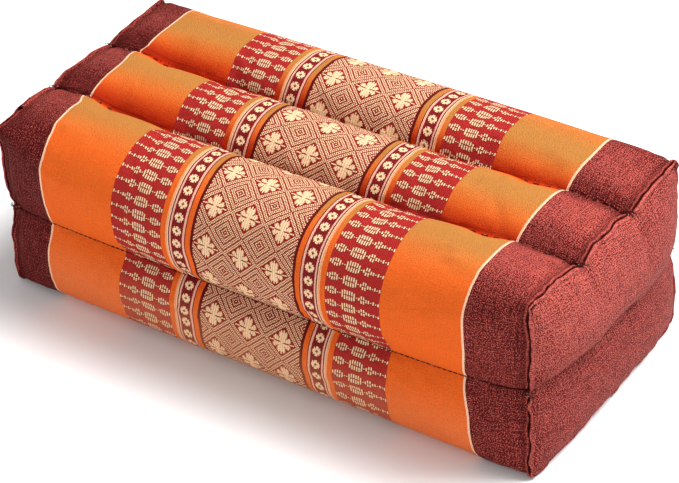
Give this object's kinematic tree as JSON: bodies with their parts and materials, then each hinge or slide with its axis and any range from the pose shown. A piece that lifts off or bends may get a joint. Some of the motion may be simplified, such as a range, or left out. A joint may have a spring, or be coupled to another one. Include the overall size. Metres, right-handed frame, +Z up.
{
  "type": "block cushion",
  "caption": "Long stuffed block cushion sewn into lengthwise tubes in two tiers, in banded patterned cloth with plain panels sewn in at the ends.",
  "frame": {"origin": "on the floor, under the middle of the cushion's bounding box", "axes": "+X along the tubes, +Y from the front to the back, +Z up"},
  "size_m": [0.381, 0.1799, 0.121],
  "materials": {
    "banded_cloth": "matt cotton weave in bands of orange, red and cream",
    "plain_cloth": "matt maroon cotton with a pale fleck"
  },
  "bodies": {
    "root": {"woven_cover": "banded_cloth", "end_panel_right": "plain_cloth", "end_panel_left": "plain_cloth"}
  },
  "joints": []
}
